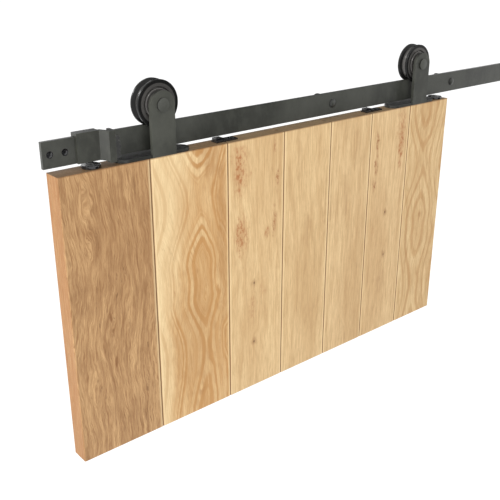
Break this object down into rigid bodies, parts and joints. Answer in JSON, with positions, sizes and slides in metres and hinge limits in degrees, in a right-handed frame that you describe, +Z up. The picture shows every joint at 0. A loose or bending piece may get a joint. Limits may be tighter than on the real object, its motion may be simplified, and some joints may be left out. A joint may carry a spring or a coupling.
{
  "type": "sliding barn door hardware",
  "caption": "Wall-mounted flat rail with end stops, strap hangers with grooved wheels rolling on it, and a short plank door hung from them.",
  "frame": {"origin": "middle wall fixing hole, on the wall plane", "axes": "+X along the rail to the right, +Y into the wall, +Z up"},
  "size_m": [1.9, 0.065, 0.607],
  "materials": {
    "black_steel": "satin powder coat",
    "wheel_black": "gloss",
    "zinc": "satin",
    "rubber": "matt",
    "nylon": "gloss",
    "oak": "oiled"
  },
  "bodies": {
    "rail": {"rail": "black_steel", "standoffs": "black_steel", "rail_bolts": "black_steel", "rail_end_screws": "black_steel", "end_stop_left": "black_steel", "end_stop_right": "black_steel", "stop_pad_left": "rubber", "stop_pad_right": "rubber", "stop_grub_screws": "zinc"},
    "door": {"plank_1": "oak", "plank_2": "oak", "plank_3": "oak", "plank_4": "oak", "plank_5": "oak", "plank_6": "oak", "plank_7": "oak", "strap_left": "black_steel", "strap_right": "black_steel", "base_plate_left": "black_steel", "base_plate_right": "black_steel", "base_screws": "black_steel", "axle_bolt_left": "black_steel", "axle_bolt_right": "black_steel", "axle_nut_left": "zinc", "axle_nut_right": "zinc", "axle_spacer_left": "zinc", "axle_spacer_right": "zinc", "bearing_inner_left": "zinc", "bearing_inner_right": "zinc", "jump_disc_left": "nylon", "jump_disc_right": "nylon", "jump_disc_screws": "black_steel", "jump_block_left": "nylon", "jump_block_right": "nylon", "jump_block_screws": "black_steel"},
    "wheel_left": {"wheel_left": "wheel_black", "bearing_outer_left": "zinc", "bearing_balls_left": "zinc", "bearing_shields_left": "black_steel"},
    "wheel_right": {"wheel_right": "wheel_black", "bearing_outer_right": "zinc", "bearing_balls_right": "zinc", "bearing_shields_right": "black_steel"}
  },
  "joints": [
    {"name": "door_slide", "type": "slide", "parent": "rail", "child": "door", "axis": [1, 0, 0], "range_m": [-0.0531, 0.9381]},
    {"name": "wheel_left_turn", "type": "hinge", "parent": "door", "child": "wheel_left", "pos_m": [-0.756, -0.039, 0.051], "axis": [0, 1, 0], "range_deg": [-100, 1752]},
    {"name": "wheel_right_turn", "type": "hinge", "parent": "door", "child": "wheel_right", "pos_m": [-0.129, -0.039, 0.051], "axis": [0, 1, 0], "range_deg": [-100, 1752]}
  ],
  "couplings": [
    {"joint": "wheel_left_turn", "follows": "door_slide", "rad_per_m": 32.573},
    {"joint": "wheel_right_turn", "follows": "door_slide", "rad_per_m": 32.573}
  ]
}
